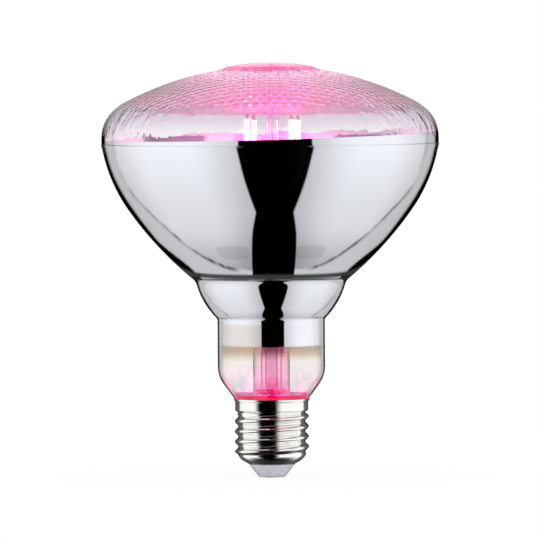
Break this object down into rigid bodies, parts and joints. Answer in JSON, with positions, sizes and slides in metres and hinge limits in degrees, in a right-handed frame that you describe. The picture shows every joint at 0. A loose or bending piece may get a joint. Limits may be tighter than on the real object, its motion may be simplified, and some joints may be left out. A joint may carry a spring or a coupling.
{
  "type": "led grow light bulb",
  "caption": "Reflector lamp with a domed clear face, a mirror-coated blown glass bowl, glowing pink filaments on a glass stem and a rolled screw cap",
  "frame": {"origin": "tip of the centre contact, on the lamp's axis", "axes": "+Z runs from the cap to the face along the axis; -Y faces the camera of the picture; +X is to its right"},
  "size_m": [0.1204, 0.1204, 0.1478],
  "materials": {
    "clear_glass": "clear blown glass with a stippled face",
    "mirror_film": "vacuum-deposited aluminium",
    "cap_sheet": "bright nickel-plated sheet",
    "insulator": "pale moulded insulator",
    "contact_metal": "tinned",
    "cement": "baked cement",
    "stem_glass": "clear drawn glass",
    "filament_coat": "glowing silicone with pink phosphor",
    "strip_metal": "stamped strip",
    "wire_metal": "nickel-plated wire",
    "board": "laminate with pale solder mask",
    "capacitor_sleeve": "shrunk sleeve",
    "resistor_coat": "baked lacquer",
    "chip_body": "moulded epoxy",
    "wire_sleeve": "sleeved wire"
  },
  "bodies": {
    "root": {"glass_bulb": "clear_glass", "mirror_film": "mirror_film", "cap_shell": "cap_sheet", "insulator": "insulator", "centre_contact": "contact_metal", "capping_cement": "cement", "stem_flare": "stem_glass", "exhaust_tube": "stem_glass", "support_rod": "stem_glass", "filament_1": "filament_coat", "filament_2": "filament_coat", "filament_3": "filament_coat", "filament_4": "filament_coat", "filament_strip_1": "strip_metal", "filament_strip_2": "strip_metal", "filament_strip_3": "strip_metal", "filament_strip_4": "strip_metal", "lead_wire_left": "wire_metal", "lead_wire_right": "wire_metal", "top_wire_left": "wire_metal", "top_wire_right": "wire_metal", "bottom_wire": "wire_metal", "driver_board": "board", "capacitor": "capacitor_sleeve", "fusible_resistor": "resistor_coat", "bridge_rectifier": "chip_body", "driver_chip": "chip_body", "contact_wire": "wire_sleeve", "shell_wire": "wire_sleeve"}
  },
  "joints": []
}
